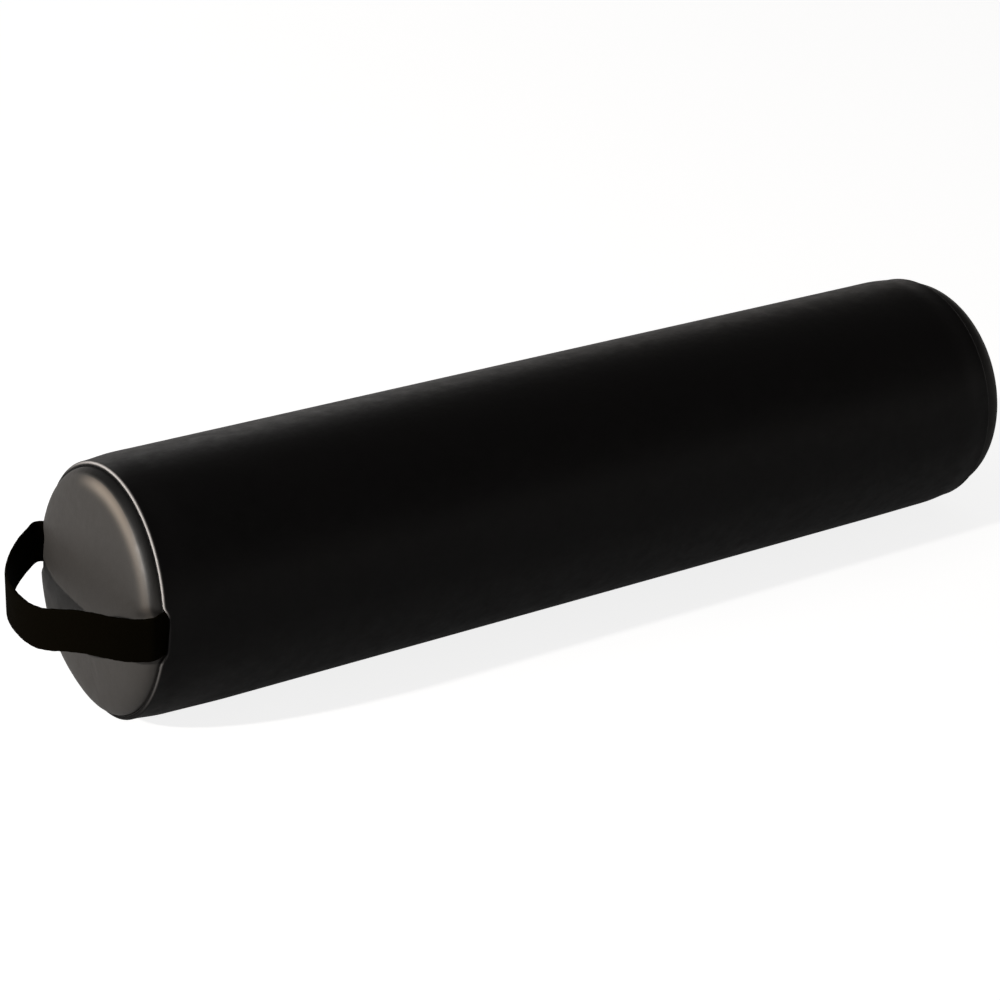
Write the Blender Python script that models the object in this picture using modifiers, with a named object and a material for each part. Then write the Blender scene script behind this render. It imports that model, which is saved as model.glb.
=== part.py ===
"""Round massage bolster with a webbing handle, modelled piece by piece.

The bolster lies along X, with its handle at -X, and rests on the flat under it, at z = 0.
Front is the -Y side. Back is the +Y side, where the closing zip runs. All sizes are in metres.
"""

import math

import bmesh
import bpy
from mathutils import Matrix, Vector

# Foam, wadding and cover
CORE_RADIUS = 0.0760
WADDING = 0.0017
VINYL = 0.0012
SEAM_TO_SEAM = 0.6335
GAP = 0.0003
FACETS = 54

# Turned edges and end seams
ROLL_RADIUS = 0.0015
HEM = 0.0095
DRAW_IN = 0.0015
END_LEAN = 0.085
REST_CUT = 0.0005
THREAD_RADIUS = 0.0003
THREAD_SIDES = 6
ROLL_STEPS = 4

# Crowned ends: rise, then the powers that set how flat the middle and how square the shoulder is
HANDLE_CROWN = (0.0115, 3.0, 2.4)
FAR_CROWN = (0.0250, 3.5, 3.0)
CROWN_STEPS = 9
CORE_INSET = 0.0030
WADDING_CLEARANCE = 0.0012
NECK_CLEARANCE = 0.0008

# Webbing handle
STRAP_WIDTH = 0.0250
STRAP_THICKNESS = 0.0020
BOW_FLARE = 0.0048
BOW_INSET = 0.0035
BOW_PULL_OUT = 0.0722
BOW_PULL_HALF_SPAN = 0.0560
BOW_STEPS = 30
STRAP_HEIGHT = 0.0038
STRAP_DROOP = math.radians(3.8)
FLEX_LENGTH = 0.0120
FLEX_STEPS = 8
FLEX_START = 0.0005
FLEX_FLARE = 0.0048
PIVOT_REACH = 0.0030
TAIL_START = 0.0023
TAIL_LENGTH = 0.0088
TACK_THICKNESS = 0.0005
TACK_LENGTH = 0.0030
TACK_WIDTH = 0.0200
ROLL_NOTCH = 0.0021

# Closing zip, along the back
ZIP_LENGTH = 0.5000
ZIP_SLOT_WIDTH = 0.0084
TAPE_REACH = 0.0120
TAPE_THICKNESS = 0.0006
TAPE_OVERRUN = 0.0120
TAPE_DEPTH = 0.0030
COIL_OUTER = 0.0030
COIL_INNER = 0.00055
COIL_HEIGHT = 0.0017
STOP_LENGTH = 0.0040
STITCH_OFFSET = 0.0076
STITCH_RADIUS = 0.00025

# Zip slider and its pull tab
SLIDER_LENGTH = 0.0100
SLIDER_WIDTH = 0.0078
SLIDER_PLATE = 0.0010
SLIDER_POST = 0.0005
SLIDER_LIP = 0.0013
BRIDGE_LENGTH = 0.0070
BRIDGE_WIDTH = 0.0016
BRIDGE_LEG = 0.0015
BRIDGE_BAR = 0.0006
PIN_SIZE = 0.0008
PIN_CLEARANCE = 0.0004
TAB_WIDTH = 0.0056
TAB_LENGTH = 0.0240
TAB_WINDOW = 0.0042
TAB_HOLE_RADIUS = 0.0014

# Sizes worked out from those above
BODY_RADIUS = CORE_RADIUS + GAP + WADDING + GAP + VINYL
SEAM_RADIUS = BODY_RADIUS - DRAW_IN
HALF = SEAM_TO_SEAM / 2
AXIS_HEIGHT = BODY_RADIUS - REST_CUT
HEM_RADIUS = SEAM_RADIUS - 2 * ROLL_RADIUS
HEM_END = HALF - ROLL_RADIUS - HEM
SKIRT_RADIUS = HEM_RADIUS - GAP
CROWN_BASE = HALF - ROLL_RADIUS
BOW_HALF_SPAN = SKIRT_RADIUS + BOW_FLARE
TAIL_RADIUS = SKIRT_RADIUS - STRAP_THICKNESS
TACK_RADIUS = TAIL_RADIUS - GAP - TACK_THICKNESS
NECK_RADIUS = TACK_RADIUS - NECK_CLEARANCE
STRAP_Z = AXIS_HEIGHT + STRAP_HEIGHT
PIVOT = Vector((-HALF - PIVOT_REACH, 0, STRAP_Z))
FLAT_RADIUS = BODY_RADIUS * math.cos(math.pi / FACETS)
TAPE_TOP = FLAT_RADIUS - VINYL - TAPE_DEPTH + COIL_HEIGHT
CUT_MARGIN = 0.010

# Colours: (red, green, blue, 1), roughness, metallic
BLACK_VINYL = ((0.012, 0.012, 0.013, 1), 0.42, 0.0)
GREY_SHEEN_VINYL = ((0.045, 0.043, 0.042, 1), 0.38, 0.0)
FOAM = ((0.80, 0.76, 0.62, 1), 0.95, 0.0)
WADDING_WHITE = ((0.85, 0.85, 0.83, 1), 1.0, 0.0)
WEBBING = ((0.008, 0.008, 0.007, 1), 0.85, 0.0)
BLACK_THREAD = ((0.015, 0.015, 0.015, 1), 0.7, 0.0)
ZIP_TAPE = ((0.014, 0.014, 0.015, 1), 0.9, 0.0)
ZIP_COIL = ((0.020, 0.020, 0.021, 1), 0.35, 0.0)
ZIP_METAL = ((0.09, 0.09, 0.095, 1), 0.3, 0.9)


def clear_scene():
    for old in list(bpy.data.objects):
        bpy.data.objects.remove(old, do_unlink=True)


def new_collection(name):
    group = bpy.data.collections.new(name)
    bpy.context.scene.collection.children.link(group)
    return group


def material(name, look):
    colour, roughness, metallic = look
    made = bpy.data.materials.new(name)
    made.use_nodes = True
    shader = made.node_tree.nodes["Principled BSDF"]
    shader.inputs["Base Color"].default_value = colour
    shader.inputs["Roughness"].default_value = roughness
    shader.inputs["Metallic"].default_value = metallic
    return made


def add_object(name, mesh, look, smooth=True):
    """A named piece in the bolster's collection, with its own material."""
    piece = bpy.data.objects.new(name, mesh)
    PARTS.objects.link(piece)
    mesh.materials.clear()
    mesh.materials.append(material(name + "_material", look))
    if smooth:
        mesh.shade_smooth()
        mesh.set_sharp_from_angle(angle=math.radians(40))
    return piece


def evaluated_mesh(source, name):
    """The source object's evaluated mesh, welded, and the source removed."""
    bpy.context.view_layer.update()
    depsgraph = bpy.context.evaluated_depsgraph_get()
    mesh = bpy.data.meshes.new_from_object(source.evaluated_get(depsgraph), depsgraph=depsgraph)
    mesh.name = name
    bpy.data.objects.remove(source, do_unlink=True)
    shape = bmesh.new()
    shape.from_mesh(mesh)
    bmesh.ops.remove_doubles(shape, verts=shape.verts, dist=0.000005)
    bmesh.ops.recalc_face_normals(shape, faces=shape.faces)
    shape.to_mesh(mesh)
    shape.free()
    return mesh


def arc(centre, radius, start, end, steps):
    """Points round a centre in a turned profile; angles in degrees from the outward direction."""
    turns = [math.radians(start + (end - start) * i / steps) for i in range(steps + 1)]
    return [(centre[0] + radius * math.cos(a), centre[1] + radius * math.sin(a)) for a in turns]


def mirrored(points):
    """A profile's other end: the same points, run the other way, with the length turned round."""
    return [(radius, -length) for radius, length in reversed(points)]


def crown(shape, rim, inset=0.0):
    """A crowned face from the bolster's axis out to the rim, set in by the layers that lie over it."""
    rise, flatness, shoulder = shape
    points = []
    for i in range(CROWN_STEPS):
        turn = math.pi / 2 * i / CROWN_STEPS
        radius = rim * math.sin(turn) ** (2 / flatness)
        points.append((radius, CROWN_BASE + (rise - inset) * math.cos(turn) ** (2 / shoulder)))
    return points + [(rim, CROWN_BASE)]


def lean_handle_end(mesh, place):
    """Shears the handle end so that its foot stands further out than its top."""
    back = place.inverted()
    for vertex in mesh.vertices:
        point = place @ vertex.co
        if point.x < 0:
            point.x += END_LEAN * (point.z - AXIS_HEIGHT)
            vertex.co = back @ point


def turned(name, profile, look, closed=False, facing=1):
    """A piece turned about the bolster's axis. The profile holds (radius, length along the axis)."""
    mesh = bpy.data.meshes.new(name + "_profile")
    edges = [(i, i + 1) for i in range(len(profile) - 1)]
    if closed:
        edges.append((len(profile) - 1, 0))
    mesh.from_pydata([(radius, 0, length) for radius, length in profile], edges, [])
    source = bpy.data.objects.new(name + "_profile", mesh)
    PARTS.objects.link(source)
    screw = source.modifiers.new("Turn", "SCREW")
    screw.axis = "Z"
    screw.angle = math.tau
    screw.steps = FACETS
    screw.render_steps = FACETS
    screw.use_merge_vertices = True
    screw.merge_threshold = 0.00001
    solid = evaluated_mesh(source, name)
    place = Matrix.Translation((0, 0, AXIS_HEIGHT)) @ Matrix.Rotation(facing * math.pi / 2, 4, "Y")
    lean_handle_end(solid, place)
    piece = add_object(name, solid, look)
    piece.matrix_world = place
    return piece


def box_mesh(name, size):
    mesh = bpy.data.meshes.new(name)
    shape = bmesh.new()
    bmesh.ops.create_cube(shape, size=1.0, matrix=Matrix.Diagonal((*size, 1)))
    shape.to_mesh(mesh)
    shape.free()
    return mesh


def cutter_box(name, low, high):
    """A box between two corners, in the cutters' collection."""
    low, high = Vector(low), Vector(high)
    tool = bpy.data.objects.new(name, box_mesh(name, high - low))
    tool.location = (low + high) / 2
    PARTS.objects.link(tool)
    return as_cutter(tool)


def as_cutter(shape):
    """Turns a shape into a tool for Booleans."""
    PARTS.objects.unlink(shape)
    CUTTERS.objects.link(shape)
    shape.hide_render = True
    shape.display_type = "WIRE"
    return shape


def use_cutter(piece, tool, operation="DIFFERENCE"):
    cut = piece.modifiers.new(tool.name, "BOOLEAN")
    cut.object = tool
    cut.operation = operation
    cut.solver = "EXACT"


def block(name, low, high, look):
    """A plain box between two corners, as a piece of the bolster."""
    low, high = Vector(low), Vector(high)
    piece = add_object(name, box_mesh(name, high - low), look, smooth=False)
    piece.location = (low + high) / 2
    return piece


def flat_outline(name, outlines, thickness):
    """A mesh of closed outlines in the XY plane, given this thickness along Z; inner outlines are holes."""
    curve = bpy.data.curves.new(name, "CURVE")
    curve.dimensions = "2D"
    curve.fill_mode = "BOTH"
    curve.extrude = thickness / 2
    for outline in outlines:
        spline = curve.splines.new("POLY")
        spline.points.add(len(outline) - 1)
        for point, (x, y) in zip(spline.points, outline):
            point.co = (x, y, 0, 1)
        spline.use_cyclic_u = True
    source = bpy.data.objects.new(name, curve)
    PARTS.objects.link(source)
    return evaluated_mesh(source, name)


def thread_tube(name, start, end, radius, look):
    """A straight thread between two points."""
    curve = bpy.data.curves.new(name, "CURVE")
    curve.dimensions = "3D"
    curve.bevel_depth = radius
    curve.bevel_resolution = 1
    curve.use_fill_caps = True
    spline = curve.splines.new("POLY")
    spline.points.add(1)
    for point, place in zip(spline.points, (start, end)):
        point.co = (*place, 1)
    source = bpy.data.objects.new(name, curve)
    PARTS.objects.link(source)
    return add_object(name, evaluated_mesh(source, name), look)


def rectangle(low_x, high_x, half_width):
    return [(low_x, -half_width), (high_x, -half_width), (high_x, half_width), (low_x, half_width)]


def strip_outline(path, thickness):
    """The closed outline of a strip of this thickness along a path in the XY plane."""
    left, right = [], []
    for i, point in enumerate(path):
        before = path[max(i - 1, 0)]
        after = path[min(i + 1, len(path) - 1)]
        along = (Vector(after) - Vector(before)).normalized()
        aside = Vector((-along.y, along.x)) * thickness / 2
        left.append(Vector(point) + aside)
        right.append(Vector(point) - aside)
    return [(p.x, p.y) for p in left + right[::-1]]


def bezier(p0, p1, p2, p3, t):
    s = 1 - t
    return p0 * s ** 3 + p1 * 3 * s * s * t + p2 * 3 * s * t * t + p3 * t ** 3


def bow_point(t):
    """The grip's centreline, in the XY plane, from the front foot at 0 to the back foot at 1."""
    foot = Vector((-HALF + BOW_INSET, BOW_HALF_SPAN))
    pull = Vector((-HALF + BOW_INSET - BOW_PULL_OUT, BOW_PULL_HALF_SPAN))
    other_side = Matrix.Diagonal((1, -1))
    return bezier(other_side @ foot, other_side @ pull, pull, foot, t)


def grip_start():
    """Where the bow leaves the flexing stretch beside the seam: it reaches out 3 t (1 - t) times its pull."""
    share = (FLEX_LENGTH + BOW_INSET) / (3 * BOW_PULL_OUT)
    return (1 - math.sqrt(1 - 4 * share)) / 2


def flex_path():
    """The back flexing stretch, from the sewn tail out to the grip, in the XY plane."""
    start = Vector((-HALF + FLEX_START, SKIRT_RADIUS - STRAP_THICKNESS / 2))
    foot = 1 - grip_start()
    end = bow_point(foot)
    step = 0.01
    along = (bow_point(foot - step) - end).normalized()
    end -= along * GAP
    first_handle = start + Vector((-FLEX_LENGTH / 2, FLEX_FLARE))
    second_handle = end - along * FLEX_LENGTH / 2
    return [bezier(start, first_handle, second_handle, end, i / FLEX_STEPS) for i in range(FLEX_STEPS + 1)]


def cover_body():
    """The long vinyl panel: a tube whose edges turn in to hems at both ends, with a slot for the zip."""
    roll = (SEAM_RADIUS - ROLL_RADIUS, HALF - ROLL_RADIUS)
    turned_edge = arc(roll, ROLL_RADIUS, 180, 0, ROLL_STEPS)
    outside = [(HEM_RADIUS, HEM_END)] + turned_edge + [(BODY_RADIUS, HEM_END)]
    inside = [
        (BODY_RADIUS - VINYL, HEM_END),
        (SEAM_RADIUS - VINYL, HALF - ROLL_RADIUS),
        (HEM_RADIUS + VINYL, HALF - ROLL_RADIUS),
        (HEM_RADIUS + VINYL, HEM_END),
    ]
    profile = outside + mirrored(outside) + mirrored(inside) + inside
    piece = turned("cover_body", profile, BLACK_VINYL, closed=True)
    rest = cutter_box(
        "rest_cutter",
        (-HALF - CUT_MARGIN, -BODY_RADIUS, -CUT_MARGIN),
        (HALF + CUT_MARGIN, BODY_RADIUS, 0),
    )
    use_cutter(piece, rest)
    slot = cutter_box(
        "zip_slot_cutter",
        (-ZIP_LENGTH / 2, FLAT_RADIUS - VINYL - CUT_MARGIN / 2, AXIS_HEIGHT - ZIP_SLOT_WIDTH / 2),
        (ZIP_LENGTH / 2, BODY_RADIUS + CUT_MARGIN, AXIS_HEIGHT + ZIP_SLOT_WIDTH / 2),
    )
    use_cutter(piece, slot)
    for notch in strap_cutters("roll_notch", HEM_RADIUS - CUT_MARGIN, -HALF + ROLL_NOTCH):
        use_cutter(piece, notch)


def strap_cutters(name, depth, inner_end):
    """Two boxes, front and back, as wide as the strap and its clearance, that let it out of the seam."""
    half_width = STRAP_WIDTH / 2 + GAP
    tools = []
    for side, sign in (("front", -1), ("back", 1)):
        near, far = sorted((sign * depth, sign * (BODY_RADIUS + CUT_MARGIN)))
        tools.append(cutter_box(
            f"{name}_{side}",
            (-HALF - CUT_MARGIN, near, STRAP_Z - half_width),
            (inner_end, far, STRAP_Z + half_width),
        ))
    return tools


def end_covers():
    """The two crowned end panels, whose skirts turn in beside the body panel's hems."""
    inner_rim = SKIRT_RADIUS - VINYL
    skirt = [(SKIRT_RADIUS, HEM_END), (inner_rim, HEM_END)]
    far, near = (
        crown(shape, SKIRT_RADIUS) + skirt + crown(shape, inner_rim, VINYL)[::-1]
        for shape in (FAR_CROWN, HANDLE_CROWN)
    )
    turned("cover_end_far", far, BLACK_VINYL)
    return turned("cover_end_handle", near, GREY_SHEEN_VINYL, facing=-1)


def end_pads():
    """Crowned wadding discs between the foam's ends and the end panels."""
    rim = SKIRT_RADIUS - VINYL - GAP
    base = HALF - CORE_INSET + GAP
    far, near = (
        crown(shape, rim, VINYL + GAP) + [(rim, base), (0, base)]
        for shape in (FAR_CROWN, HANDLE_CROWN)
    )
    turned("end_pad_far", far, WADDING_WHITE)
    return turned("end_pad_handle", near, WADDING_WHITE, facing=-1)


def foam_core():
    """The foam log: its ends step in to leave room for the turned-in hems, and it is flat under the zip."""
    end = HALF - CORE_INSET
    shoulder = HEM_END - GAP
    slope_end = shoulder - (CORE_RADIUS - NECK_RADIUS)
    half = [(0, end), (NECK_RADIUS, end), (NECK_RADIUS, shoulder), (CORE_RADIUS, slope_end)]
    piece = turned("foam_core", half + mirrored(half), FOAM)
    floor = TAPE_TOP - TAPE_THICKNESS - 2 * GAP - SLIDER_PLATE - GAP
    tool = cutter_box(
        "zip_channel_cutter",
        (-HALF - CUT_MARGIN, floor, 0),
        (HALF + CUT_MARGIN, BODY_RADIUS + CUT_MARGIN, 2 * AXIS_HEIGHT),
    )
    use_cutter(piece, tool)


def wadding_wrap():
    """Wadding wrapped round the foam; its two long edges stop beside the zip's tapes."""
    end = HEM_END - GAP
    inner = CORE_RADIUS + GAP
    outer = inner + WADDING
    profile = [(outer, end), (outer, -end), (inner, -end), (inner, end)]
    piece = turned("wadding_wrap", profile, WADDING_WHITE, closed=True)
    reach = TAPE_REACH + WADDING_CLEARANCE
    tool = cutter_box(
        "wadding_gap_cutter",
        (-HALF - CUT_MARGIN, 0, AXIS_HEIGHT - reach),
        (HALF + CUT_MARGIN, BODY_RADIUS + CUT_MARGIN, AXIS_HEIGHT + reach),
    )
    use_cutter(piece, tool)


def thread_profile():
    """The end seam's thread, in section: it lies in the groove between the turned edge and the crown."""
    radius = SKIRT_RADIUS + GAP + THREAD_RADIUS
    inward = SEAM_RADIUS - ROLL_RADIUS - radius
    clear = ROLL_RADIUS + GAP + THREAD_RADIUS
    length = HALF - ROLL_RADIUS + math.sqrt(clear ** 2 - inward ** 2)
    return arc((radius, length), THREAD_RADIUS, 0, -360, THREAD_SIDES)[:-1]


def seam_threads():
    """The sewing in the end seams. At the handle end the two straps part it into an upper and a lower run."""
    turned("seam_thread_far", thread_profile(), BLACK_THREAD, closed=True)
    half_width = STRAP_WIDTH / 2 + GAP
    reach = BODY_RADIUS + CUT_MARGIN
    for name, low, high in (
        ("upper", AXIS_HEIGHT - reach, STRAP_Z + half_width),
        ("lower", STRAP_Z - half_width, AXIS_HEIGHT + reach),
    ):
        piece = turned(f"seam_thread_handle_{name}", thread_profile(), BLACK_THREAD, closed=True, facing=-1)
        tool = cutter_box(f"thread_{name}_cutter", (-HALF - CUT_MARGIN, -reach, low), (0, reach, high))
        use_cutter(piece, tool)


def sewn_ring(name, side, inner, thickness, start, length, width, look):
    """A curved piece of strap or thread in the handle's seam: part of a ring, kept inside a box."""
    outer = inner + thickness
    high, low = HALF - start, HALF - start - length
    profile = [(outer, high), (outer, low), (inner, low), (inner, high)]
    piece = turned(name, profile, look, closed=True, facing=-1)
    sign = -1 if side == "front" else 1
    near, far = sorted((0, sign * (BODY_RADIUS + CUT_MARGIN)))
    tool = cutter_box(
        name + "_keeper",
        (-HALF - CUT_MARGIN, near, STRAP_Z - width / 2),
        (0, far, STRAP_Z + width / 2),
    )
    use_cutter(piece, tool, "INTERSECT")
    return piece


def end_openings():
    """Tools that let the strap and its sewn tails through the handle end's panel and pad."""
    tools = strap_cutters("end_notch", TAIL_RADIUS - GAP, -HALF + TAIL_START)
    inner = TACK_RADIUS - GAP
    depth = BODY_RADIUS - inner
    length = HEM + ROLL_RADIUS + CUT_MARGIN
    for side in ("front", "back"):
        width = STRAP_WIDTH + 2 * GAP
        start = TAIL_START - 2 * GAP
        pocket = sewn_ring(f"tail_pocket_{side}", side, inner, depth, start, length, width, WEBBING)
        tools.append(as_cutter(pocket))
    return tools


def handle_pieces():
    """The webbing handle: grip, the two stretches that flex, the sewn tails and their bar tacks."""
    pivot = bpy.data.objects.new("handle_pivot", None)
    pivot.location = PIVOT
    pivot.rotation_euler.y = -STRAP_DROOP
    PARTS.objects.link(pivot)
    foot = grip_start()
    path = [bow_point(foot + (1 - 2 * foot) * i / BOW_STEPS) for i in range(BOW_STEPS + 1)]
    strips = {"handle_strap": path, "handle_flex_back": flex_path()}
    strips["handle_flex_front"] = [(point[0], -point[1]) for point in strips["handle_flex_back"]]
    for name, points in strips.items():
        moved = [(point[0] - PIVOT.x, point[1]) for point in points]
        mesh = flat_outline(name, [strip_outline(moved, STRAP_THICKNESS)], STRAP_WIDTH)
        add_object(name, mesh, WEBBING).parent = pivot
    tail = (TAIL_RADIUS, STRAP_THICKNESS, TAIL_START, TAIL_LENGTH, STRAP_WIDTH, WEBBING)
    middle = TAIL_START + (TAIL_LENGTH - TACK_LENGTH) / 2
    tack = (TACK_RADIUS, TACK_THICKNESS, middle, TACK_LENGTH, TACK_WIDTH, BLACK_THREAD)
    for side in ("front", "back"):
        sewn_ring(f"handle_tail_{side}", side, *tail)
        sewn_ring(f"handle_tack_{side}", side, *tack)


def zip_chain():
    """Tapes, coils, stops and the sewing that holds the tapes to the cover."""
    tape_half = ZIP_LENGTH / 2 + TAPE_OVERRUN
    coil_half = ZIP_LENGTH / 2 - STOP_LENGTH - 2 * GAP
    coil_low = TAPE_TOP + GAP
    coil_high = coil_low + COIL_HEIGHT
    for name, sign in (("upper", 1), ("lower", -1)):
        near, far = sorted((sign * COIL_INNER, sign * TAPE_REACH))
        block(
            f"zip_tape_{name}",
            (-tape_half, TAPE_TOP - TAPE_THICKNESS, AXIS_HEIGHT + near),
            (tape_half, TAPE_TOP, AXIS_HEIGHT + far),
            ZIP_TAPE,
        )
        near, far = sorted((sign * COIL_INNER, sign * COIL_OUTER))
        block(
            f"zip_coil_{name}",
            (-coil_half, coil_low, AXIS_HEIGHT + near),
            (coil_half, coil_high, AXIS_HEIGHT + far),
            ZIP_COIL,
        )
        block(
            f"zip_top_stop_{name}",
            (coil_half + GAP, coil_low, AXIS_HEIGHT + near),
            (coil_half + GAP + STOP_LENGTH, coil_high, AXIS_HEIGHT + far),
            ZIP_METAL,
        )
        slope = 2 * math.pi / FACETS
        edge = BODY_RADIUS * math.sin(slope / 2)
        surface = FLAT_RADIUS - (STITCH_OFFSET - edge) * math.tan(slope)
        height = surface + (GAP + STITCH_RADIUS) / math.cos(slope)
        thread_tube(
            f"zip_thread_{name}",
            (-ZIP_LENGTH / 2, height, AXIS_HEIGHT + sign * STITCH_OFFSET),
            (ZIP_LENGTH / 2, height, AXIS_HEIGHT + sign * STITCH_OFFSET),
            STITCH_RADIUS,
            BLACK_THREAD,
        )
    block(
        "zip_bottom_stop",
        (-coil_half - GAP - STOP_LENGTH, coil_low, AXIS_HEIGHT - COIL_OUTER),
        (-coil_half - GAP, coil_high, AXIS_HEIGHT + COIL_OUTER),
        ZIP_METAL,
    )
    return coil_half, coil_high


def zip_slider(coil_half, coil_high):
    """The slider straddles the chain, with a bridge that its pull tab turns in. It rests at the top stops."""
    centre = coil_half - SLIDER_LENGTH / 2 - GAP
    plate_low = coil_high + GAP
    plate_high = plate_low + SLIDER_PLATE
    under_high = TAPE_TOP - TAPE_THICKNESS - 2 * GAP
    under_low = under_high - SLIDER_PLATE
    half, post = SLIDER_WIDTH / 2, SLIDER_POST / 2
    lip_inner = COIL_OUTER + GAP
    lip_low = plate_low - SLIDER_LIP
    right = [
        (under_low, 0), (under_low, half), (under_high, half), (under_high, post),
        (plate_low, post), (plate_low, lip_inner), (lip_low, lip_inner), (lip_low, half),
        (plate_high, half),
    ]
    left = [(height, -aside) for height, aside in right[:0:-1]]
    section = [(height - plate_high, aside) for height, aside in right + left]
    mesh = flat_outline("zip_slider", [section], SLIDER_LENGTH)
    piece = add_object("zip_slider", mesh, ZIP_METAL, smooth=False)
    upright = Matrix(((0, 0, 1), (1, 0, 0), (0, 1, 0))).to_4x4()
    piece.matrix_world = Matrix.Translation((centre, plate_high, AXIS_HEIGHT)) @ upright
    pin_height = PIN_SIZE / 2 + PIN_CLEARANCE
    hole_top = 2 * pin_height
    top = hole_top + BRIDGE_BAR
    reach = BRIDGE_LENGTH / 2
    hole_reach = reach - BRIDGE_LEG
    root = -SLIDER_PLATE / 2
    bridge = [
        (-reach, root), (-hole_reach, root), (-hole_reach, hole_top), (hole_reach, hole_top),
        (hole_reach, root), (reach, root), (reach, top), (-reach, top),
    ]
    bridge_mesh = flat_outline("bridge_shape", [bridge], BRIDGE_WIDTH)
    tool = bpy.data.objects.new("bridge_shape", bridge_mesh)
    tool.location = (centre, plate_high, AXIS_HEIGHT)
    PARTS.objects.link(tool)
    use_cutter(piece, as_cutter(tool), "UNION")
    pull_tab(Vector((centre, plate_high + pin_height, AXIS_HEIGHT)))


def pull_tab(pin):
    """A flat tab whose end bar turns under the slider's bridge. At rest it lies back along the chain."""
    half_pin = PIN_SIZE / 2
    window = (-half_pin - TAB_WINDOW, -half_pin)
    hole_centre = -TAB_LENGTH + TAB_WIDTH / 2
    corners = 8
    outline = [(half_pin, -TAB_WIDTH / 2), (half_pin, TAB_WIDTH / 2)]
    for i in range(corners + 1):
        turn = math.pi / 2 + math.pi * i / corners
        outline.append((hole_centre + TAB_WIDTH / 2 * math.cos(turn), TAB_WIDTH / 2 * math.sin(turn)))
    hole = []
    for i in range(2 * corners):
        turn = math.tau * i / (2 * corners)
        hole.append((hole_centre + TAB_HOLE_RADIUS * math.cos(turn), TAB_HOLE_RADIUS * math.sin(turn)))
    gap_half = BRIDGE_WIDTH / 2 + PIN_CLEARANCE
    mesh = flat_outline("zip_pull_tab", [outline, rectangle(*window, gap_half), hole], PIN_SIZE)
    piece = add_object("zip_pull_tab", mesh, ZIP_METAL, smooth=False)
    piece.location = pin
    piece.rotation_euler.x = math.pi / 2


clear_scene()
PARTS = new_collection("round_massage_bolster")
CUTTERS = new_collection("cutters")
foam_core()
wadding_wrap()
cover_body()
handle_end = end_covers()
handle_pad = end_pads()
for opening in end_openings():
    use_cutter(handle_end, opening)
    use_cutter(handle_pad, opening)
seam_threads()
handle_pieces()
zip_slider(*zip_chain())
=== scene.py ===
"""How the round massage bolster looks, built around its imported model.

The bolster lies along X with its handle at -X, and rests on z = 0. Front is -Y, and the zip runs
along the back, +Y. All sizes are in metres.
"""

import math

import bmesh
import bpy
import numpy as np
from mathutils import Matrix, Vector


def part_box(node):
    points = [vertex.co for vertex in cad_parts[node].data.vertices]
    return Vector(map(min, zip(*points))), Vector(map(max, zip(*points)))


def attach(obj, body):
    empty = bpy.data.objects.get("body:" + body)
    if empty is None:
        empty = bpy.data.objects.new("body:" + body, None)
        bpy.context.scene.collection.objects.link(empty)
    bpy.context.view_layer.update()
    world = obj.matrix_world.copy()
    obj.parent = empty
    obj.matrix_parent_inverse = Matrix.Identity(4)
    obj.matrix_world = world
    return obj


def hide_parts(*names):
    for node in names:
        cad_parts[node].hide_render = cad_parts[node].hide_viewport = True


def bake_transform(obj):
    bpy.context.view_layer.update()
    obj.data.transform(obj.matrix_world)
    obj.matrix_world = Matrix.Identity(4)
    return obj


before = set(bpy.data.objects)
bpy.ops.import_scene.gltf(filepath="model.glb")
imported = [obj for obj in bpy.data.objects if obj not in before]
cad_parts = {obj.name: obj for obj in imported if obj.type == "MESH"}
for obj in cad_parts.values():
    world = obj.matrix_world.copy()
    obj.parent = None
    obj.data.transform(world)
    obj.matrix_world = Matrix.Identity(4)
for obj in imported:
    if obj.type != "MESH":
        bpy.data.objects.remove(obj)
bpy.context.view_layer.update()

# Sizes read from the frame
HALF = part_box("cover_body")[1].x
REST_CUT = 0.0005
BODY_RADIUS = (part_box("cover_body")[1].z + REST_CUT) / 2
AXIS = BODY_RADIUS - REST_CUT
COIL_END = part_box("zip_coil_upper")[1].x
COIL_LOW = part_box("zip_coil_upper")[0].y
COIL_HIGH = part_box("zip_coil_upper")[1].y
COIL_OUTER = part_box("zip_coil_upper")[1].z - AXIS
FOAM_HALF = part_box("foam_core")[1].x
FOAM_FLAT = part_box("foam_core")[1].y

# Cover
VINYL = 0.0012
GAP = 0.0003
ROLL_RADIUS = 0.0015
DRAW_IN = 0.0015
DRAW_IN_REACH = 0.0200
HEM = 0.0095
SEAM_RADIUS = BODY_RADIUS - DRAW_IN
HEM_RADIUS = SEAM_RADIUS - 2 * ROLL_RADIUS
SKIRT_RADIUS = HEM_RADIUS - GAP
CROWN_BASE = HALF - ROLL_RADIUS
HANDLE_CROWN = (0.0125, 5.7, 1.93)
FAR_CROWN = (0.0247, 3.5, 3.0)
# The far end's panel is painted a little lighter all over, standing in for the light on its rim
FAR_END_PAINTED_LIGHT = 0.02
# Where on the turned edge's section the painted highlight lies, and how widely it spreads
CREST_TURN = 68
CREST_WIDTH = 27
# Where the painted highlight band lies across the handle end's panel, and its width
HIGHLIGHT_BAND_SHARE = 0.924
HIGHLIGHT_BAND_WIDTH = 0.040
THREAD_RADIUS = 0.0003
STITCH = 0.0040

# The handle end leans, less so at the back, and its foot is drawn in where the foam gives
FRONT_LEAN = 0.0913
BACK_LEAN = 0.0520
BACK_SHIFT = 0.0020
LEAN_START = 0.12
LEAN_END = 0.26
HANDLE_FOOT_RISE = 0.0082
FAR_FOOT_RISE = 0.0028
FOOT_ANGLE = math.radians(-79)
FOOT_SPREAD = math.radians(33)
FOOT_REACH = 0.070
BACK_START = 0.010
BACK_BLEND = 0.089

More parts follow.
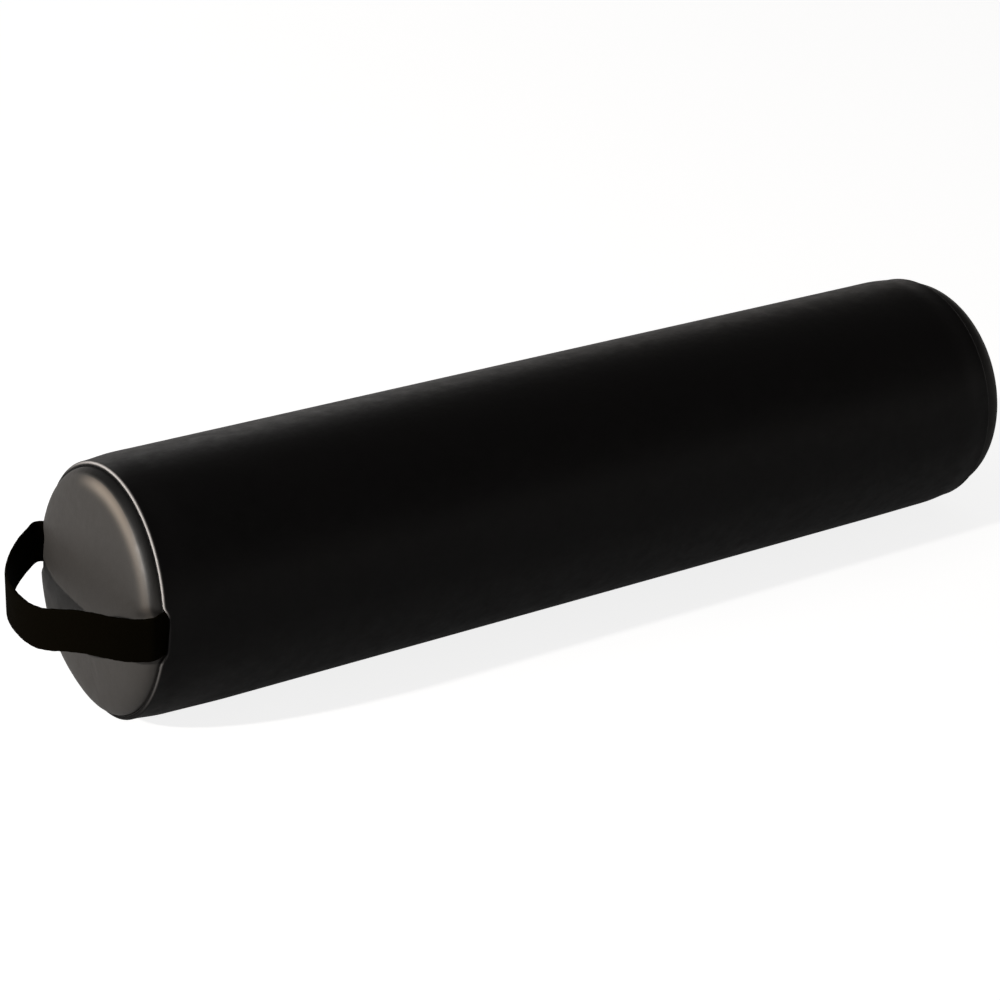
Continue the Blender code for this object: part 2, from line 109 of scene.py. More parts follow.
# How the handle's feet press on the cover
PRESS_BESIDE = 0.0035
PRESS_FADE = 0.0045
ROLL_PUSHED = 0.0034
PANEL_PUSHED = 0.0028
PANEL_SQUEEZED = 0.0016
DENT_START = 0.058
DENT_FADE = 0.012

# Swelling of the vinyl panels
SEAM_STRIP = 0.012
ZIP_STRIP = 0.010
BODY_SLACK = 0.0001
BODY_SWELL = 0.0012
END_SLACK = 0.0002
END_SWELL = 0.0014

# Foam and wadding
CORE_RADIUS = 0.0760
WADDING = 0.0017
WADDING_EDGE = 0.0132

# Handle
STRAP_WIDTH = 0.0270
STRAP_THICKNESS = 0.0020
STRAP_Z = AXIS + 0.0038
STRAP_DROOP = 0.165
FRONT_RISE = 0.0065
BACK_DIP = 0.0030
BOW_HALF_SPAN = SKIRT_RADIUS + 0.0048
BOW_INSET = 0.0035
BOW_PULL_OUT = 0.0722
BOW_PULL_HALF_SPAN = 0.0560
PIVOT_REACH = 0.0030
FLEX_LENGTH = 0.0120
FLEX_START = 0.0005
FLEX_FLARE = 0.0048
TAIL_LENGTH = 0.0088
TAIL_START = 0.0023
YARN = 0.0014
PICK = 0.0019

# Zip
ZIP_HALF = 0.2500
SLOT_HALF = 0.0042
STITCH_OFFSET = 0.0076
CLOSED_SEAM_HALF = 0.00001
COIL_PITCH = 0.00125
COIL_WIRE = 0.00028

LOOKS = bpy.data.collections.new("bolster_looks")
bpy.context.scene.collection.children.link(LOOKS)


# Small tools
def ease(t):
    """0 before 0, 1 after 1, and smooth between."""
    t = np.clip(t, 0, 1)
    return t * t * (3 - 2 * t)


def ripple(angle, seed, waves, amount):
    """A smooth uneven wave round the bolster, from a few sines with fixed chances."""
    chance = np.random.default_rng(seed)
    total = np.zeros_like(angle)
    for count in waves:
        total += chance.uniform(0.4, 1.0) * np.sin(count * angle + chance.uniform(0, math.tau))
    return amount * total / len(waves)


def grid_object(name, points, wrap=False, loop=False, pole=False):
    """A mesh through a grid of points. Wrap joins its last column to the first, loop its last row to the
    first, and pole closes the first row with a fan round its middle."""
    rows, columns = points.shape[:2]
    faces = []
    for i in range(rows if loop else rows - 1):
        here, there = i * columns, (i + 1) % rows * columns
        for j in range(columns if wrap else columns - 1):
            k = (j + 1) % columns
            faces.append((here + j, here + k, there + k, there + j))
    corners = points.reshape(-1, 3).tolist()
    if pole:
        corners.append(points[0].mean(axis=0).tolist())
        faces += [(rows * columns, (j + 1) % columns, j) for j in range(columns)]
    mesh = bpy.data.meshes.new(name)
    mesh.from_pydata(corners, [], faces)
    mesh.shade_smooth()
    piece = bpy.data.objects.new(name, mesh)
    LOOKS.objects.link(piece)
    return piece


def close_ends(piece, shape):
    """Closes both ends of a wrapped grid, and turns its faces outward."""
    rows, columns = shape[:2]
    made = bmesh.new()
    made.from_mesh(piece.data)
    made.verts.ensure_lookup_table()
    made.faces.new([made.verts[j] for j in range(columns)][::-1])
    made.faces.new([made.verts[(rows - 1) * columns + j] for j in range(columns)])
    bmesh.ops.recalc_face_normals(made, faces=made.faces)
    made.to_mesh(piece.data)
    made.free()


def points_of(piece):
    places = np.empty(len(piece.data.vertices) * 3)
    piece.data.vertices.foreach_get("co", places)
    return places.reshape(-1, 3)


def set_points(piece, places):
    piece.data.vertices.foreach_set("co", places.ravel())
    piece.data.update()


def use_subdivision(piece, levels=1):
    smooth = piece.modifiers.new("Smooth", "SUBSURF")
    smooth.levels = levels
    smooth.render_levels = levels


def use_thickness(piece, thickness):
    shell = piece.modifiers.new("Thickness", "SOLIDIFY")
    shell.thickness = thickness
    shell.offset = -1
    shell.use_even_offset = False


def dress(piece, look, replaced=(), body="bolster"):
    """Gives a piece its material, and ties it to its body and the nodes it stands for."""
    piece.data.materials.clear()
    piece.data.materials.append(look)
    if body:
        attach(piece, body)
    if replaced:
        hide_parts(*replaced)
    return piece


def around(x, radius, angle):
    """Points on the bolster: angle 0 is the back, a quarter turn up, and so on."""
    off = (angle - FOOT_ANGLE + math.pi) % math.tau - math.pi
    rise = HANDLE_FOOT_RISE * (1 - ease((x + HALF) / FOOT_REACH))
    rise = rise + FAR_FOOT_RISE * (1 - ease((HALF - x) / FOOT_REACH))
    radius = radius * (1 - rise * np.exp(-(off / FOOT_SPREAD) ** 2) / SEAM_RADIUS)
    y = radius * np.cos(angle)
    height = radius * np.sin(angle)
    back = ease((y + BACK_START) / BACK_BLEND)
    lean = FRONT_LEAN + (BACK_LEAN - FRONT_LEAN) * back
    leaning = ease((-x - LEAN_START) / (LEAN_END - LEAN_START))
    return np.stack([x + (lean * height + BACK_SHIFT * back) * leaning, y, AXIS + height], axis=-1)


def flatten_foot(places):
    """The bolster rests flat: no point goes below the floor, and the vinyl rounds off into the flat."""
    rounding = 0.0003
    height = places[..., 2]
    resting = 0.5 * (height + np.sqrt(height ** 2 + rounding ** 2))
    places[..., 2] = np.where(height < 0.01, resting, height)
    return places


def inflate(piece, pinned, limit):
    """Swells the piece as cloth, with air pressure behind it. Pinned points stay, and the rest move less
    than the limit."""
    start = points_of(piece)
    group = piece.vertex_groups.new(name="pinned")
    group.add([int(i) for i in np.flatnonzero(pinned)], 1.0, "REPLACE")
    cloth = piece.modifiers.new("Cloth", "CLOTH")
    cloth.settings.vertex_group_mass = "pinned"
    cloth.settings.use_pressure = True
    cloth.settings.uniform_pressure_force = 4.0
    cloth.settings.effector_weights.gravity = 0
    cloth.settings.tension_stiffness = 40
    cloth.settings.compression_stiffness = 40
    cloth.settings.shear_stiffness = 20
    cloth.settings.bending_stiffness = 5
    cloth.settings.quality = 6
    cloth.point_cache.frame_start = 1
    cloth.point_cache.frame_end = 20
    scene = bpy.context.scene
    for step in range(1, 21):
        scene.frame_set(step)
    swollen = np.empty(start.size)
    depsgraph = bpy.context.evaluated_depsgraph_get()
    piece.evaluated_get(depsgraph).data.vertices.foreach_get("co", swollen)
    piece.modifiers.remove(cloth)
    piece.vertex_groups.clear()
    scene.frame_set(1)
    moved = swollen.reshape(-1, 3) - start
    far = np.linalg.norm(moved, axis=1, keepdims=True)
    set_points(piece, start + moved * limit / (limit + far))


# Cover
def roll_profile():
    """The turned edge beside the end seam, from the hem's tip round to the outside: radius, length, and how
    much of the painted highlight each row takes, greatest near its crest.
    """
    hem_tip = CROWN_BASE - HEM
    rows = [(HEM_RADIUS, hem_tip + HEM * share / 3, 0.0) for share in range(3)]
    steps = 14
    for i in range(steps + 1):
        turn = math.pi * (1 - i / steps)
        crest = math.exp(-((math.degrees(turn) - CREST_TURN) / CREST_WIDTH) ** 2)
        radius = SEAM_RADIUS - ROLL_RADIUS + ROLL_RADIUS * math.cos(turn)
        rows.append((radius, CROWN_BASE + ROLL_RADIUS * math.sin(turn), crest))
    return np.array(rows)


def body_lengths():
    """Where the body's rows lie along X, from the far seam to the handle's: close beside seams and zip."""
    near_edge = [CROWN_BASE - d for d in (0.0012, 0.0028, 0.0048, 0.0072, 0.0100, 0.0140, 0.0190, 0.0250)]
    near_zip = [ZIP_HALF + d for d in (0.0040, 0.0020, 0.0010, 0.0003)]
    near_zip += [ZIP_HALF - d for d in (0.0004, 0.0012, 0.0025, 0.0050)]
    middle = np.linspace(ZIP_HALF - 0.0100, 0, 42)
    between = np.linspace(near_edge[-1], near_zip[0], 10)[1:-1]
    half = [*near_edge, *between, *near_zip, *middle]
    return np.array(half + [-x for x in half[-2::-1]])


def slot_half(x):
    """Half the width of the opening along the back: the zip's slot, and a closed seam past its ends."""
    closing = ease((np.abs(x) - ZIP_HALF + 0.0010) / 0.0030)
    return SLOT_HALF + (CLOSED_SEAM_HALF - SLOT_HALF) * closing


def body_columns(x):
    """Angles of the body's columns at each row: close together beside the slot, even round the rest."""
    near = np.array([0, 0.0005, 0.0011, 0.0018, 0.0026, 0.0034, 0.0042, 0.0052, 0.0066, 0.0085, 0.0110])
    first = (slot_half(x)[:, None] + near[None, :]) / BODY_RADIUS
    last = math.tau - first[:, ::-1]
    share = np.linspace(0, 1, 150)[None, 1:-1]
    middle = first[:, -1:] * (1 - share) + last[:, :1] * share
    return np.concatenate([first, middle, last], axis=1)


def puckers(x, angle):
    """The small unevenness that the stitches leave beside each end seam."""
    far = ripple(angle, 3, (31, 43, 57, 70), 1.0)
    near = ripple(angle, 11, (29, 41, 59, 73), 1.0)
    return np.where(x > 0, far, near)


def body_surface(x, angle):
    """Radius of the cover's outside: drawn in and puckered at the seams, with long soft waves between."""
    from_seam = CROWN_BASE - np.abs(x)
    radius = BODY_RADIUS - DRAW_IN * (1 - ease(from_seam / DRAW_IN_REACH))
    radius = radius + 0.00012 * puckers(x, angle) * np.exp(-np.clip(from_seam, 0, None) / 0.006)
    long_wave = ripple(angle, 5, (2, 3, 5), 0.00018) * np.sin(x * 9 + 1)
    long_wave += ripple(angle, 6, (1, 4), 0.00015) * np.cos(x * 14)
    return radius + long_wave * ease(from_seam / 0.03)


def beside_zip(radius, x, from_edge):
    """The slot's turned edges: a soft lip, a groove under the stitches, and edges that dip to the zip."""
    along_zip = 1 - ease((np.abs(x) - ZIP_HALF - 0.004) / 0.004)
    stitch_line = STITCH_OFFSET - SLOT_HALF
    radius = radius - 0.00022 * np.exp(-((from_edge - stitch_line) / 0.0009) ** 2) * along_zip
    radius = radius + 0.00016 * np.exp(-((from_edge - stitch_line / 2) / 0.0011) ** 2)
    return radius - 0.00045 * np.exp(-from_edge / 0.0006)


def under_strap(x, angle):
    """How much the handle's feet press on the cover here: 1 under a foot, 0 away from it."""
    height = np.abs(BODY_RADIUS * np.sin(angle) + AXIS - STRAP_Z)
    return ease((STRAP_WIDTH / 2 + PRESS_BESIDE - height) / PRESS_FADE) * (x < 0)


def painted_highlight_on_roll(crest, angle):
    """How strong the painted highlight is on the handle end's turned edge. It is a highlight painted into the
    colour:
    most over the top and the front, where the key lamp catches it, less below the handle, and none under its
    feet."""
    front = 0.5 - 0.5 * np.cos(angle - math.radians(-45))
    fading = 1 - 0.80 * ease((angle - math.radians(178)) / math.radians(12))
    bare = 1 - under_strap(np.full_like(angle, -1.0), angle)
    return crest * ease((front - 0.45) / 0.38) * fading * bare


def painted_light_on_panel(share, angle):
    """Painted light on the handle end's panel: a painted highlight band on its upper front shoulder, where
    the key lamp's gloss falls, and painted shade in a dark ring by the seam, where the steep shoulder turns
    from the light.
    """
    highlight_band = np.exp(-((share - HIGHLIGHT_BAND_SHARE) / HIGHLIGHT_BAND_WIDTH) ** 2)
    # Round the panel, the painted highlight is strongest over the top and fades towards the front
    rubbed = ease((angle - math.radians(68)) / math.radians(28))
    rubbed = rubbed * (1 - 0.75 * ease((angle - math.radians(105)) / math.radians(60)))
    rubbed = rubbed * (1 - ease((angle - math.radians(160)) / math.radians(15)))
    # The painted shade by the seam, over the top and the front
    painted_shade_ring = ease((angle - math.radians(55)) / math.radians(30))
    painted_shade_ring = painted_shade_ring * (1 - ease((angle - math.radians(130)) / math.radians(80)))
    return highlight_band * rubbed * (1 - ease((share - 0.95) / 0.03)) - painted_shade_ring * ease((share - 0.952) / 0.022)


def dent_under_feet(x, radius, angle, facing):
    """Presses the end panel and its pad in where the handle's feet bend over them."""
    at_foot = under_strap(facing * np.ones_like(angle), angle) * ease((radius - DENT_START) / DENT_FADE)
    return x + PANEL_PUSHED * at_foot, radius - PANEL_SQUEEZED * at_foot


def give_painted_light_and_gloss(piece, values):
    """Writes the light painted into the vinyl at each point: above 0 a painted highlight, and glossier; below
    0 painted shade, and duller.
    """
    layer = piece.data.attributes.new("painted_light_and_gloss", "FLOAT", "POINT")
    layer.data.foreach_set("value", values)


def cover_body_piece(look):
    """The long panel: a tube with turned edges, open along the zip."""
    roll = roll_profile()
    x_rows = np.concatenate([roll[:, 1], body_lengths(), -roll[::-1, 1]])
    angle = body_columns(x_rows)
    x = np.repeat(x_rows[:, None], angle.shape[1], axis=1)
    radius = body_surface(x, angle)
    count = len(roll)
    radius[:count] = roll[:, :1] + 0.00008 * puckers(x, angle)[:count]
    radius[-count:] = roll[::-1, :1] + 0.00008 * puckers(x, angle)[-count:]
    from_edge = np.minimum(angle, math.tau - angle) * BODY_RADIUS - slot_half(x)
    radius = beside_zip(radius, x, from_edge)
    slack = BODY_SLACK
    radius -= slack * ease((HALF - np.abs(x) - SEAM_STRIP) / 0.03) * ease((from_edge - ZIP_STRIP) / 0.02)
    at_edge = np.clip((-x - HALF + SEAM_STRIP) / SEAM_STRIP, 0, 1)
    points = around(x + ROLL_PUSHED * under_strap(x, angle) * at_edge, radius, angle)
    piece = grid_object("cover_body_vinyl", points[:, ::-1])
    pinned = (HALF - np.abs(x) < SEAM_STRIP) | (from_edge < ZIP_STRIP)
    inflate(piece, pinned[:, ::-1].ravel(), BODY_SWELL)
    set_points(piece, flatten_foot(points_of(piece)))
    painted_light_and_gloss = np.zeros_like(x)
    # The handle end's turned edge gets a painted highlight in its colour
    painted_light_and_gloss[-count:] = painted_highlight_on_roll(roll[::-1, 2:], angle[-count:])
    # The far end's turned edge is painted slightly darker, as painted shade where its highlight would show,
    # and made a little rougher
    painted_light_and_gloss[:count] = -0.2 * roll[:, 2:]
    give_painted_light_and_gloss(piece, painted_light_and_gloss[:, ::-1].ravel())
    use_thickness(piece, VINYL)
    use_subdivision(piece)
    dress(piece, look, ["cover_body"])


def crown_profile(shape, rim, base, inset, steps):
    """The crowned face, from near the axis out to the rim, set in by what lies over it: radius, length."""
    rise, flatness, shoulder = shape
    half_out = 0.6
    turn = np.linspace(math.asin(half_out ** (flatness / 2)), math.pi / 2, steps)
    share = np.concatenate([np.linspace(0.05, half_out, steps // 3)[:-1], np.sin(turn) ** (2 / flatness)])
    length = base + (rise - inset) * (1 - share ** flatness).clip(0) ** (1 / shoulder)
    return np.stack([rim * share, length], axis=1)


def dish_points(profile, facing, columns):
    """Turns a profile of radius and length about the bolster: its points, and their places along and out."""
    angle = np.repeat((np.arange(columns) * math.tau / columns)[None, :], len(profile), axis=0)
    radius = np.repeat(profile[:, :1], columns, axis=1)
    x = facing * np.repeat(profile[:, 1:], columns, axis=1)
    return x, radius, angle


def end_cover(name, shape, look, node, facing):
    """A crowned end panel, whose skirt turns in behind the body's rolled edge."""
    slack = END_SLACK
    face = crown_profile(shape, SKIRT_RADIUS, HALF, slack, 44)
    skirt = [(SKIRT_RADIUS, HALF - depth) for depth in (0.0008, 0.0020, 0.0040, 0.0070, 0.0100)]
    x, radius, angle = dish_points(np.concatenate([face, skirt]), facing, 180)
    at_rim = np.exp(-(SKIRT_RADIUS - radius) / 0.004) * (np.abs(x) > HALF + 0.0005)
    x = x + facing * 0.0003 * puckers(x, angle) * at_rim
    share = radius / SKIRT_RADIUS
    x, radius = dent_under_feet(x, radius, angle, facing)
    points = around(x, radius, angle)
    if facing > 0:
        points = points[:, ::-1]
    piece = grid_object(name, points, wrap=True, pole=True)
    pinned = np.append((np.abs(x) < HALF + 0.0008).ravel(), False)
    inflate(piece, pinned, END_SWELL)
    if facing > 0:
        # Painted light: the far end's panel a little lighter all over
        give_painted_light_and_gloss(piece, np.full(radius.size + 1, FAR_END_PAINTED_LIGHT))
    else:
        # The handle end's panel gets a painted highlight band, and painted shade by its seam
        give_painted_light_and_gloss(piece, np.append(painted_light_on_panel(share, angle).ravel(), 0.0))
    use_thickness(piece, VINYL)
    use_subdivision(piece)
    dress(piece, look, [node])


# Filling
def foam_log(look):
    """The foam core: a round log with softened ends, flat where the zip lies over it."""
    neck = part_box("end_pad_handle")[1].z - AXIS - 0.004
    shoulder = CROWN_BASE - HEM
    profile = [(neck * 0.5, FOAM_HALF), (neck - 0.003, FOAM_HALF), (neck - 0.0008, FOAM_HALF - 0.0007)]
    profile += [(neck, FOAM_HALF - 0.003), (neck, shoulder), (CORE_RADIUS, shoulder - (CORE_RADIUS - neck))]
    middle = [(CORE_RADIUS, length) for length in np.linspace(shoulder - 0.02, 0, 12)]
    rows = np.array(profile + middle)
    mirrored = rows[-2::-1] * (1, -1)
    x, radius, angle = dish_points(np.concatenate([rows, mirrored]), 1, 96)
    points = around(x, radius, angle)
    points[..., 1] = np.minimum(points[..., 1], FOAM_FLAT)
    piece = grid_object("foam_log", points[:, ::-1], wrap=True)
    close_ends(piece, points.shape)
    dress(piece, look, ["foam_core"])


def wadding_layer(look):
    """Wadding wrapped round the foam, with a soft uneven surface. Its edges stop beside the zip."""
    end = CROWN_BASE - HEM - GAP
    x = np.repeat(np.linspace(end, -end, 120)[:, None], 110, axis=1)
    first = WADDING_EDGE / CORE_RADIUS
    angle = np.repeat(np.linspace(first, math.tau - first, 110)[None, :], 120, axis=0)
    uneven = ripple(angle, 21, (17, 23, 37), 0.0001) * np.sin(x * 70)
    piece = grid_object("wadding_layer", around(x, CORE_RADIUS + GAP + WADDING + uneven, angle)[:, ::-1])
    use_thickness(piece, WADDING)
    dress(piece, look, ["wadding_wrap"])


def end_pad(name, shape, look, facing):
    """A crowned disc of wadding that fills an end panel."""
    under = VINYL + GAP
    rim = SKIRT_RADIUS - under
    face = crown_profile(shape, rim, CROWN_BASE, under + 0.001, 24)
    base = FOAM_HALF + GAP
    flat = [(rim, base), (rim * 0.5, base)]
    x, radius, angle = dish_points(np.concatenate([face, flat]), facing, 96)
    points = around(*dent_under_feet(x, radius, angle, facing), angle)
    if facing > 0:
        points = points[:, ::-1]
    piece = grid_object(name + "_wadding", points, wrap=True)
    close_ends(piece, points.shape)
    dress(piece, look, [name])


# Sewing
def thread_tube(name, centres, outward, radius, closed=False):
    """A two-ply thread along its centres, with each ply's bulge winding round it."""
    sides = 8
    if closed:
        ahead = np.roll(centres, -1, axis=0) - np.roll(centres, 1, axis=0)
    else:
        ahead = np.gradient(centres, axis=0)
    ahead /= np.linalg.norm(ahead, axis=1, keepdims=True)
    aside = np.cross(ahead, outward)
    aside /= np.linalg.norm(aside, axis=1, keepdims=True)
    up = np.cross(aside, ahead)
    turn = (np.arange(sides) * math.tau / sides)[None, :]
    lay = np.arange(len(centres))[:, None] * 0.9
    plump = radius * (0.86 + 0.14 * np.abs(np.sin(turn - lay)))
    ring = up[:, None] * np.cos(turn)[..., None] + aside[:, None] * np.sin(turn)[..., None]
    points = centres[:, None] + plump[..., None] * ring
    piece = grid_object(name, points, wrap=True, loop=closed)
    if not closed:
        close_ends(piece, points.shape)
    return piece


def stitch_dip(reach, pitch):
    """How far a stitch has sunk at this reach along the sewing: 0 on top, 1 where it goes through."""
    share = (reach / pitch) % 1.0
    return np.exp(-((share - 0.5) / 0.13) ** 2)


def seam_stitches(name, node, facing, first, last, look):
    """The sewing in an end seam, between two angles: it shows in the groove beside the turned edge."""
    closed = last - first >= math.tau
    count = int((last - first) * SKIRT_RADIUS / 0.0004)
    angle = np.linspace(first, last, count, endpoint=not closed)
    whole = round((last - first) * SKIRT_RADIUS / STITCH)
    dip = stitch_dip((angle - first) / (last - first) * whole, 1.0)
    radius = SKIRT_RADIUS + GAP + THREAD_RADIUS
    clear = ROLL_RADIUS + GAP + THREAD_RADIUS
    inward = SEAM_RADIUS - ROLL_RADIUS - radius
    length = CROWN_BASE + math.sqrt(clear ** 2 - inward ** 2)
    x = facing * (length - 0.0003 - 0.0009 * dip)
    centres = around(x, np.full(count, radius), angle)
    outward = np.stack([np.full(count, facing), 0.4 * np.cos(angle), 0.4 * np.sin(angle)], axis=1)
    piece = thread_tube(name, centres, outward, THREAD_RADIUS, closed)
    dress(piece, look, [node])


def zip_stitches(side, look):
    """A row of stitches beside the slot, through the cover and the zip's tape."""
    sign = 1 if side == "upper" else -1
    count = int(2 * ZIP_HALF / 0.0004)
    x = np.linspace(ZIP_HALF, -ZIP_HALF, count)
    angle = np.full(count, STITCH_OFFSET / BODY_RADIUS)
    surface = body_surface(x, angle) - 0.00022
    radius = surface + 0.0001 - 0.0006 * stitch_dip(x, 0.0034)
    centres = around(x, radius, sign * angle)
    outward = np.stack([0 * x, np.cos(angle), sign * np.sin(angle)], axis=1)
    piece = thread_tube(f"zip_stitches_{side}", centres, outward, 0.00026)
    dress(piece, look, [f"zip_thread_{side}"])


# Zip
def zip_coil(side, look):
    """One side of the chain: a wound nylon coil, whose heads mesh with the other side's in the middle."""
    sign = 1 if side == "upper" else -1
    steps = 12
    turns = int((2 * COIL_END - 2 * COIL_WIRE) / COIL_PITCH) - 1
    turn = np.arange(turns * steps + 1) / steps
    start = -turns * COIL_PITCH / 2 + (COIL_PITCH / 4) * sign
    x = start + turn * COIL_PITCH
    across, up = np.cos(turn * math.tau), np.sin(turn * math.tau)
    head = -0.0004
    z_middle, z_reach = (COIL_OUTER + head) / 2, (COIL_OUTER - head) / 2 - COIL_WIRE
    y_middle, y_reach = (COIL_LOW + COIL_HIGH) / 2, (COIL_HIGH - COIL_LOW) / 2 - COIL_WIRE
    z = AXIS + sign * (z_middle + z_reach * np.sign(across) * np.abs(across) ** 0.7)
    y = y_middle + y_reach * np.sign(up) * np.abs(up) ** 0.7
    centres = np.stack([x, y, z], axis=1)
    ahead = np.gradient(centres, axis=0)
    ahead /= np.linalg.norm(ahead, axis=1, keepdims=True)
    aside = np.cross(ahead, np.array([1.0, 0, 0]))
    aside /= np.linalg.norm(aside, axis=1, keepdims=True)
    up_side = np.cross(aside, ahead)
    ring_turn = (np.arange(6) * math.tau / 6)[None, :, None]
    ring = np.cos(ring_turn) * aside[:, None] + np.sin(ring_turn) * up_side[:, None]
    points = centres[:, None] + COIL_WIRE * ring
    piece = grid_object(f"zip_coil_{side}_wound", points, wrap=True)
    close_ends(piece, points.shape)
    dress(piece, look, [f"zip_coil_{side}"])


def coil_sewing(side, look):
    """The thread that holds a coil to its tape, over every turn."""
    sign = 1 if side == "upper" else -1
    count = int(2 * COIL_END / 0.0003)
    x = np.linspace(COIL_END - 0.001, -COIL_END + 0.001, count)
    wave = np.cos(x / COIL_PITCH * math.tau)
    z = AXIS + sign * (COIL_OUTER - 0.0009) + 0.00012 * np.sin(x / COIL_PITCH * math.tau)
    centres = np.stack([x, COIL_HIGH - 0.00012 + 0.00010 * wave, z], axis=1)
    piece = thread_tube(f"zip_coil_sewing_{side}", centres, np.tile([0.0, 1.0, 0.0], (count, 1)), 0.00016)
    dress(piece, look)


def keep_solid(node, look, bevel=0.0):
    """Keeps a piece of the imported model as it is, with its edges softened and its material put on."""
    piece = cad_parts[node]
    piece.data.materials.clear()
    piece.data.materials.append(look)
    if bevel:
        soft = piece.modifiers.new("Soft edges", "BEVEL")
        soft.width = bevel
        soft.segments = 3
        soft.limit_method = "ANGLE"
        soft.angle_limit = math.radians(35)


# Handle
def bezier(p0, p1, p2, p3, t):
    s = 1 - t
    return p0 * s ** 3 + p1 * 3 * s * s * t + p2 * 3 * s * t * t + p3 * t ** 3


def bow_point(t):
    foot = Vector((-HALF + BOW_INSET, BOW_HALF_SPAN))
    pull = Vector((-HALF + BOW_INSET - BOW_PULL_OUT, BOW_PULL_HALF_SPAN))
    other_side = Matrix.Diagonal((1, -1))
    return bezier(other_side @ foot, other_side @ pull, pull, foot, t)


def strap_path():
    """The strap's centreline in plan, from the front tail round the bow to the back tail."""
    share = (FLEX_LENGTH + BOW_INSET) / (3 * BOW_PULL_OUT)
    leave = (1 - math.sqrt(1 - 4 * share)) / 2
    centre = SKIRT_RADIUS - STRAP_THICKNESS / 2
    grip = [bow_point(leave + (1 - 2 * leave) * i / 60) for i in range(61)]
    along = (grip[-2] - grip[-1]).normalized()
    start = Vector((-HALF + FLEX_START, centre))
    first = start + Vector((-FLEX_LENGTH / 2, FLEX_FLARE))
    second = grip[-1] - along * FLEX_LENGTH / 2
    flex = [bezier(grip[-1], second, first, start, i / 12) for i in range(1, 12)]
    tail_end = -HALF + TAIL_START + TAIL_LENGTH
    tail = [Vector((x, centre)) for x in np.linspace(-HALF + FLEX_START, tail_end, 8)]
    back_half = flex + tail
    front_half = [Vector((p.x, -p.y)) for p in back_half]
    return front_half[::-1] + grip + back_half


def even_path(path, spacing, softness):
    """The same path with its points evenly apart and its kinks smoothed over the softness."""
    points = np.array([tuple(p) for p in path])
    steps = np.linalg.norm(np.diff(points, axis=0), axis=1)
    reach = np.concatenate([[0], np.cumsum(steps)])
    even = np.linspace(0, reach[-1], int(reach[-1] / spacing))
    smooth = np.stack([np.interp(even, reach, points[:, k]) for k in range(2)], axis=1)
    side = int(softness / spacing / 2)
    kernel = np.hanning(2 * side + 1)
    kernel /= kernel.sum()
    padded = np.pad(smooth, ((side, side), (0, 0)), "reflect", reflect_type="odd")
    return np.stack([np.convolve(padded[:, k], kernel, "valid") for k in range(2)], axis=1), even


def strap_section():
    """The webbing's section: depth and place across, round its two faces and rounded edges."""
    half_width, half_thick = STRAP_WIDTH / 2, STRAP_THICKNESS / 2
    across_steps, edge_steps = 52, 7
    section = []
    for side in (1, -1):
        for i in range(across_steps + 1):
            section.append((side * half_thick, side * (half_width - half_thick) * (2 * i / across_steps - 1)))
        for i in range(1, edge_steps):
            turn = math.pi * i / edge_steps
            edge = half_width - half_thick + half_thick * math.sin(turn)
            section.append((side * half_thick * math.cos(turn), side * edge))
    return np.array(section)


def webbing_strap(look):
    """The webbing handle, woven: yarn columns along it, each going over and under in turn."""
    plan, reach = even_path(strap_path(), 0.0004, 0.008)
    tangent = np.gradient(plan, axis=0)
    tangent /= np.linalg.norm(tangent, axis=1, keepdims=True)
    section = strap_section()
    depth, across, along = section[None, :, 0], section[None, :, 1], reach[:, None]
    ridge = np.abs(np.sin(math.pi * across / YARN)) ** 0.6
    over = 0.5 + 0.5 * np.cos(math.tau * (along / PICK + 0.5 * (np.floor(across / YARN) % 2)))
    on_face = np.abs(depth) > STRAP_THICKNESS * 0.45
    depth = depth + np.sign(depth) * 0.00016 * ridge * over * on_face
    wobble = 0.00010 * np.sin(along * 410) + 0.00008 * np.sin(along * 930 + 2)
    across = across + np.sign(across) * wobble * (np.abs(across) / STRAP_WIDTH * 2) ** 4
    x = plan[:, :1] - tangent[:, 1:] * depth
    y = plan[:, 1:] + tangent[:, :1] * depth
    beside = np.sin(math.pi * (np.abs(y) / BOW_HALF_SPAN).clip(0, 1) ** 1.35) ** 2
    z = STRAP_Z + across + beside * np.where(y < 0, FRONT_RISE, -BACK_DIP)
    from_pivot = x + HALF + PIVOT_REACH
    z = z + STRAP_DROOP * from_pivot * ease((-x - HALF) / 0.012)
    points = np.stack([x + 0 * z, y + 0 * z, z], axis=-1)
    piece = grid_object("webbing_handle", points, wrap=True)
    close_ends(piece, points.shape)
    map_strap(piece, points.shape, reach, section)
    flexes = [f"handle_{part}_{side}" for part in ("flex", "tail") for side in ("front", "back")]
    dress(piece, look, ["handle_strap", *flexes], body=None)
    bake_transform(piece)


def map_strap(piece, shape, reach, section):
    """Maps the webbing in metres: its length along U and its way across along V."""
    rows, columns = shape[:2]
    layer = piece.data.uv_layers.new(name="weave")
    index = np.empty(len(piece.data.loops), dtype=int)
    piece.data.loops.foreach_get("vertex_index", index)
    u = reach[np.minimum(index // columns, rows - 1)]
    v = section[index % columns, 1]
    layer.data.foreach_set("uv", np.stack([u, v], axis=1).ravel())


# Materials
def new_material(name, colour, roughness, metallic=0.0, specular=0.5):
    made = bpy.data.materials.new(name)
    made.use_nodes = True
    shader = made.node_tree.nodes["Principled BSDF"]
    shader.inputs["Base Color"].default_value = (*colour, 1)
    shader.inputs["Roughness"].default_value = roughness
    shader.inputs["Metallic"].default_value = metallic
    shader.inputs["Specular IOR Level"].default_value = specular
    return made, made.node_tree.nodes, made.node_tree.links, shader


def texture(nodes, links, kind, place, **settings):
    node = nodes.new(kind)
    for name, value in settings.items():
        if name in node.inputs:
            node.inputs[name].default_value = value
        else:
            setattr(node, name, value)
    links.new(place, node.inputs["Vector"])
    return node


